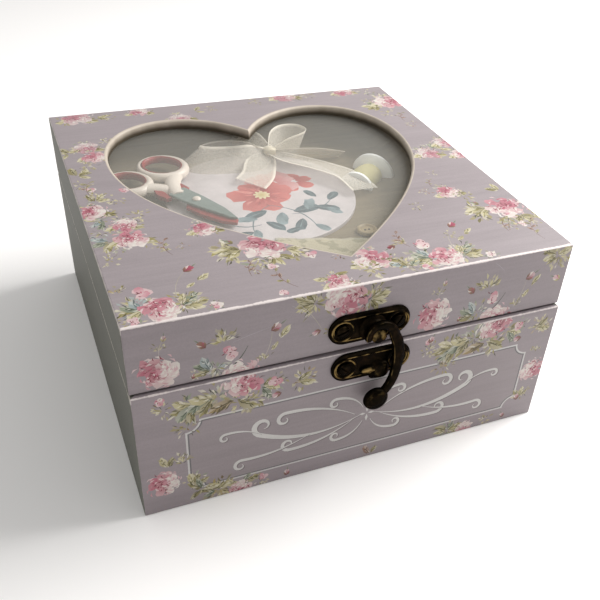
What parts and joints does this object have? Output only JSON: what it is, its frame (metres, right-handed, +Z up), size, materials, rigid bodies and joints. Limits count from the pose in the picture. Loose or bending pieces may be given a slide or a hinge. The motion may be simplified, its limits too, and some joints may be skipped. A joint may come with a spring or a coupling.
{
  "type": "sewing box",
  "caption": "Square wooden sewing box with a hinged lid, a heart-shaped window over a sealed display case and a cast swing hook on the front.",
  "frame": {"origin": "middle of the underside", "axes": "+Z up, front with the hook towards -Y, +X to the right seen from the front"},
  "size_m": [0.2, 0.2169, 0.1005],
  "materials": {
    "printed_board": "satin printed paint",
    "painted_board": "matt paint",
    "lining_board": "matt paint",
    "glass": "clear",
    "aged_bronze": "aged, worn bright on its edges"
  },
  "bodies": {
    "base": {"base_front_board": "printed_board", "base_back_board": "painted_board", "base_left_board": "painted_board", "base_right_board": "painted_board", "base_floor_board": "lining_board", "catch_plate": "aged_bronze", "catch_screw_left": "aged_bronze", "catch_screw_right": "aged_bronze", "base_hinge_leaf_left": "aged_bronze", "base_hinge_leaf_right": "aged_bronze", "base_hinge_screw_left_1": "aged_bronze", "base_hinge_screw_left_2": "aged_bronze", "base_hinge_screw_right_1": "aged_bronze", "base_hinge_screw_right_2": "aged_bronze"},
    "lid": {"lid_front_rail": "printed_board", "lid_back_rail": "painted_board", "lid_left_rail": "painted_board", "lid_right_rail": "painted_board", "lid_top_panel": "printed_board", "window_pane": "glass", "display_backing": "lining_board", "hook_plate": "aged_bronze", "hook_screw_left": "aged_bronze", "hook_screw_right": "aged_bronze", "hook_rivet": "aged_bronze", "lid_hinge_leaf_left": "aged_bronze", "lid_hinge_leaf_right": "aged_bronze", "lid_hinge_screw_left_1": "aged_bronze", "lid_hinge_screw_left_2": "aged_bronze", "lid_hinge_screw_right_1": "aged_bronze", "lid_hinge_screw_right_2": "aged_bronze", "hinge_pin_left": "aged_bronze", "hinge_pin_right": "aged_bronze"},
    "hook": {"swing_hook": "aged_bronze"}
  },
  "joints": [
    {"name": "lid_hinge", "type": "hinge", "parent": "base", "child": "lid", "pos_m": [0, 0.1044, 0.06835], "axis": [-1, 0, 0], "range_deg": [0, 105]},
    {"name": "hook_swing", "type": "hinge", "parent": "lid", "child": "hook", "pos_m": [0.0024, -0.1052, 0.0782], "axis": [0, -1, 0], "range_deg": [0, 95]}
  ]
}
